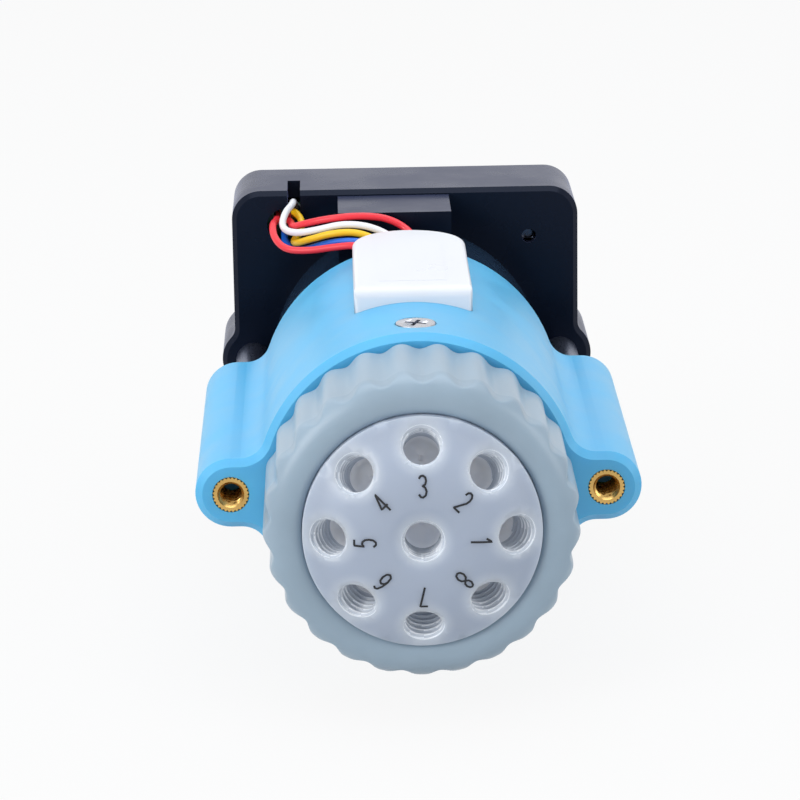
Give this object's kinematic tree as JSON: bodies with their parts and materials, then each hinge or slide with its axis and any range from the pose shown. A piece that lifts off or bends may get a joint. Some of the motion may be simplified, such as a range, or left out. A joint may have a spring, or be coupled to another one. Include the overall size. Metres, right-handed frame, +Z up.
{
  "type": "microfluidic selector valve",
  "caption": "Motor-driven rotary selector valve: a domed port head, scalloped clamping nut, eared blue housing, geared stepper motor and square control box",
  "frame": {"origin": "on the valve axis, in the front plane of the two ears, midway between the panel inserts", "axes": "+Y along the valve axis from the ports to the rear box, +X towards port 1, +Z up to the cover"},
  "size_m": [0.069, 0.1221, 0.06],
  "materials": {
    "blue_plastic": "satin",
    "grey_plastic": "frosted satin",
    "clear_plastic": "frosted, slightly clear",
    "black_plastic": "satin",
    "white_plastic": "satin",
    "black_polymer": "matte",
    "white_polymer": "smooth",
    "brass": "turned",
    "bright_steel": "ground",
    "screw_steel": "plated",
    "dark_steel": "polished, dark",
    "core_steel": "plain",
    "bare_aluminium": "machined",
    "motor_black": "satin",
    "copper_wire": "enamelled",
    "board_green": "solder mask",
    "lead_red": "satin",
    "lead_white": "satin",
    "lead_yellow": "satin",
    "lead_blue": "satin"
  },
  "bodies": {
    "frame": {"valve_housing": "blue_plastic", "panel_inserts": "brass", "rear_inserts": "brass", "housing_screw": "screw_steel", "stator_head": "clear_plastic", "head_pins": "bright_steel", "thrust_washer_rear": "bright_steel", "disc_springs": "bright_steel", "bearing_block": "bare_aluminium", "shaft_bearing_outer": "bright_steel", "optical_fork": "black_polymer", "sensor_board": "board_green", "sensor_cover": "white_plastic", "gearbox_front_plate": "bright_steel", "ring_gear": "bright_steel", "gearbox_screws": "screw_steel", "shaft_bushes": "brass", "motor_front_plate": "bare_aluminium", "motor_can": "motor_black", "motor_stator": "core_steel", "motor_windings": "copper_wire", "terminal_cover": "black_plastic", "spacer_posts": "dark_steel", "long_screws": "screw_steel", "rear_housing": "black_plastic", "rear_cover": "black_plastic", "cover_screws": "screw_steel", "front_screws": "screw_steel", "control_board": "board_green", "board_components": "black_polymer", "interface_connector": "black_polymer", "connector_pins": "brass", "lead_red_upper": "lead_red", "lead_red_lower": "lead_red", "lead_white": "lead_white", "lead_yellow": "lead_yellow", "lead_blue": "lead_blue"},
    "rotor": {"rotor_seal": "white_polymer", "rotor_carrier": "bright_steel", "drive_pins": "bright_steel", "thrust_washer_front": "bright_steel", "valve_shaft": "bright_steel", "shaft_bearing_inner": "bright_steel", "coupling": "bare_aluminium", "coupling_screws": "screw_steel", "encoder_disc": "black_polymer", "output_carrier": "bright_steel", "planet_pins": "bright_steel"},
    "planet_1": {"planet_gear_1": "bright_steel"},
    "planet_2": {"planet_gear_2": "bright_steel"},
    "planet_3": {"planet_gear_3": "bright_steel"},
    "motor_spindle": {"motor_rotor": "core_steel", "motor_shaft": "bright_steel", "sun_gear": "brass"},
    "roller_cage": {"thrust_cage": "brass", "thrust_rollers": "bright_steel"},
    "ball_row": {"shaft_bearing_balls": "bright_steel"},
    "slip_washer": {"slip_ring": "black_polymer"},
    "nut": {"ring_nut": "grey_plastic"}
  },
  "joints": [
    {"name": "selector_spin", "type": "hinge", "parent": "frame", "child": "rotor", "pos_m": [0, 0, 0], "axis": [0, 1, 0], "continuous": true},
    {"name": "motor_spin", "type": "hinge", "parent": "frame", "child": "motor_spindle", "pos_m": [0, 0.05, 0], "axis": [0, 1, 0], "continuous": true},
    {"name": "thrust_cage_spin", "type": "hinge", "parent": "frame", "child": "roller_cage", "pos_m": [0, 0.0025, 0], "axis": [0, 1, 0], "continuous": true},
    {"name": "ball_row_spin", "type": "hinge", "parent": "frame", "child": "ball_row", "pos_m": [0, 0.0115, 0], "axis": [0, 1, 0], "continuous": true},
    {"name": "planet_1_spin", "type": "hinge", "parent": "rotor", "child": "planet_1", "pos_m": [0.009, 0.046, 0], "axis": [0, 1, 0], "continuous": true},
    {"name": "planet_2_spin", "type": "hinge", "parent": "rotor", "child": "planet_2", "pos_m": [-0.0045, 0.046, -0.00779], "axis": [0, 1, 0], "continuous": true},
    {"name": "planet_3_spin", "type": "hinge", "parent": "rotor", "child": "planet_3", "pos_m": [-0.0045, 0.046, 0.00779], "axis": [0, 1, 0], "continuous": true},
    {"name": "nut_travel", "type": "slide", "parent": "frame", "child": "slip_washer", "axis": [0, -1, 0], "range_m": [0, 0.009]},
    {"name": "nut_turn", "type": "hinge", "parent": "slip_washer", "child": "nut", "pos_m": [0, -0.0104, 0], "axis": [0, -1, 0], "range_deg": [0, 1080]}
  ],
  "couplings": [
    {"joint": "motor_spin", "follows": "selector_spin", "ratio": 5},
    {"joint": "thrust_cage_spin", "follows": "selector_spin", "ratio": 0.5},
    {"joint": "ball_row_spin", "follows": "selector_spin", "ratio": 0.425},
    {"joint": "planet_1_spin", "follows": "selector_spin", "ratio": -2.6667},
    {"joint": "planet_2_spin", "follows": "selector_spin", "ratio": -2.6667},
    {"joint": "planet_3_spin", "follows": "selector_spin", "ratio": -2.6667},
    {"joint": "nut_travel", "follows": "nut_turn", "m_per_rad": 0.00047746}
  ]
}
